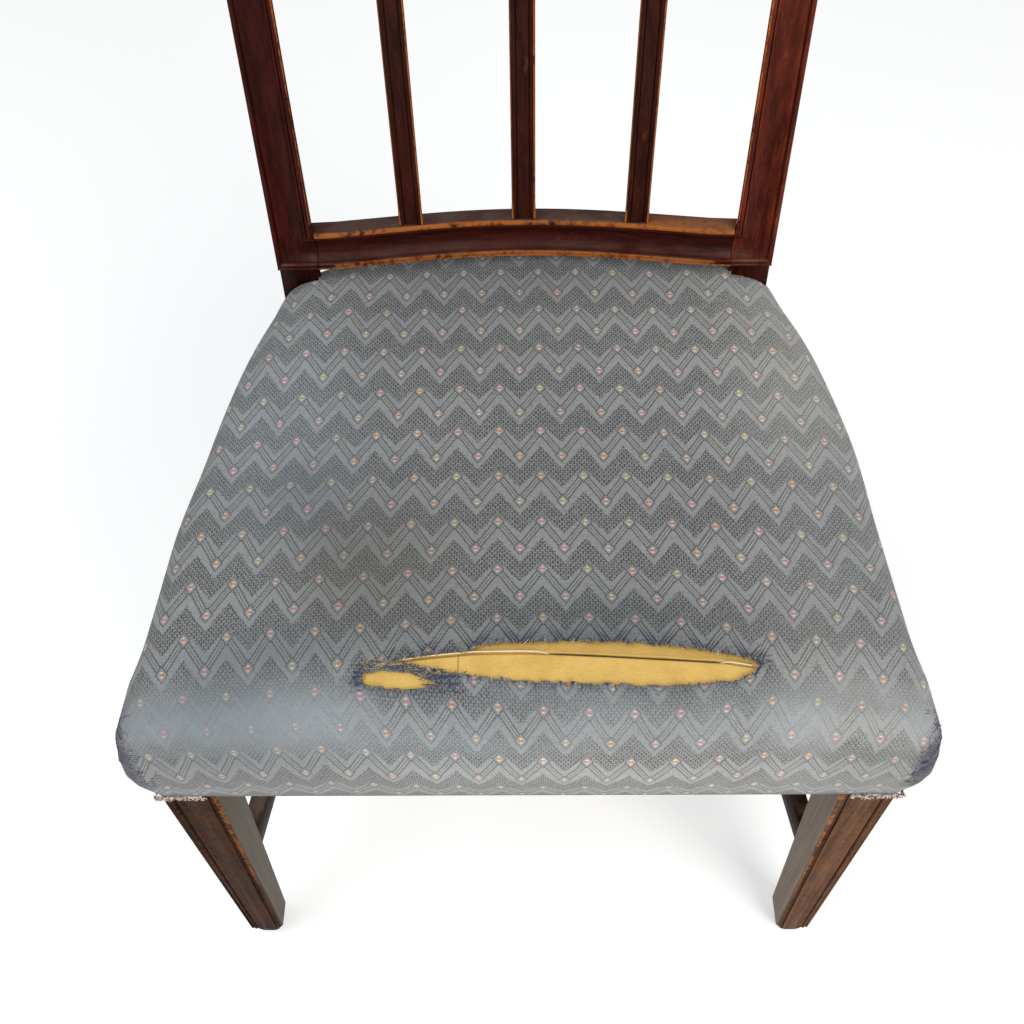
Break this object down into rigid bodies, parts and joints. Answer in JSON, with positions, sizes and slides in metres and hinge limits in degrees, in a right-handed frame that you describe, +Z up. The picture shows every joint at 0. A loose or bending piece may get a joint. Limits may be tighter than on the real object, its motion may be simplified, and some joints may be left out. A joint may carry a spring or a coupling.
{
  "type": "dining chair",
  "caption": "Upright wooden dining chair with a raked, bowed and moulded bar back, square tapered legs with stretchers, and a worn stuffed-over fabric seat.",
  "frame": {"origin": "on the floor, under the middle of the chair's box", "axes": "+Z up, -Y towards the front of the seat, +X to the right as seen from the front"},
  "size_m": [0.532, 0.5098, 0.9448],
  "materials": {
    "mahogany": "worn polish on dark red-brown mahogany",
    "beech": "bare sawn hardwood",
    "webbing": "woven jute strap",
    "hessian": "coarse open weave",
    "foam": "aged yellow foam",
    "fabric": "patterned woven upholstery, worn",
    "steel": "plain steel"
  },
  "bodies": {
    "root": {"front_leg_left": "mahogany", "rear_post_left": "mahogany", "side_stretcher_left": "mahogany", "side_seat_rail_left": "beech", "front_corner_block_left": "beech", "rear_corner_block_left": "beech", "front_leg_right": "mahogany", "rear_post_right": "mahogany", "side_stretcher_right": "mahogany", "side_seat_rail_right": "beech", "front_corner_block_right": "beech", "rear_corner_block_right": "beech", "lower_back_rail": "mahogany", "crest_rail": "mahogany", "splat_bar_left": "mahogany", "splat_bar_centre": "mahogany", "splat_bar_right": "mahogany", "cross_stretcher": "mahogany", "back_stretcher": "mahogany", "front_seat_rail": "beech", "back_seat_rail": "beech", "front_block_screw_inner_left": "steel", "front_block_screw_outer_left": "steel", "rear_block_screw_inner_left": "steel", "rear_block_screw_outer_left": "steel", "front_block_screw_inner_right": "steel", "front_block_screw_outer_right": "steel", "rear_block_screw_inner_right": "steel", "rear_block_screw_outer_right": "steel", "webbing_long_1": "webbing", "webbing_long_2": "webbing", "webbing_long_3": "webbing", "webbing_long_4": "webbing", "webbing_cross_1": "webbing", "webbing_cross_2": "webbing", "webbing_cross_3": "webbing", "hessian_base": "hessian", "seat_pad": "foam", "seat_cover": "fabric"}
  },
  "joints": []
}
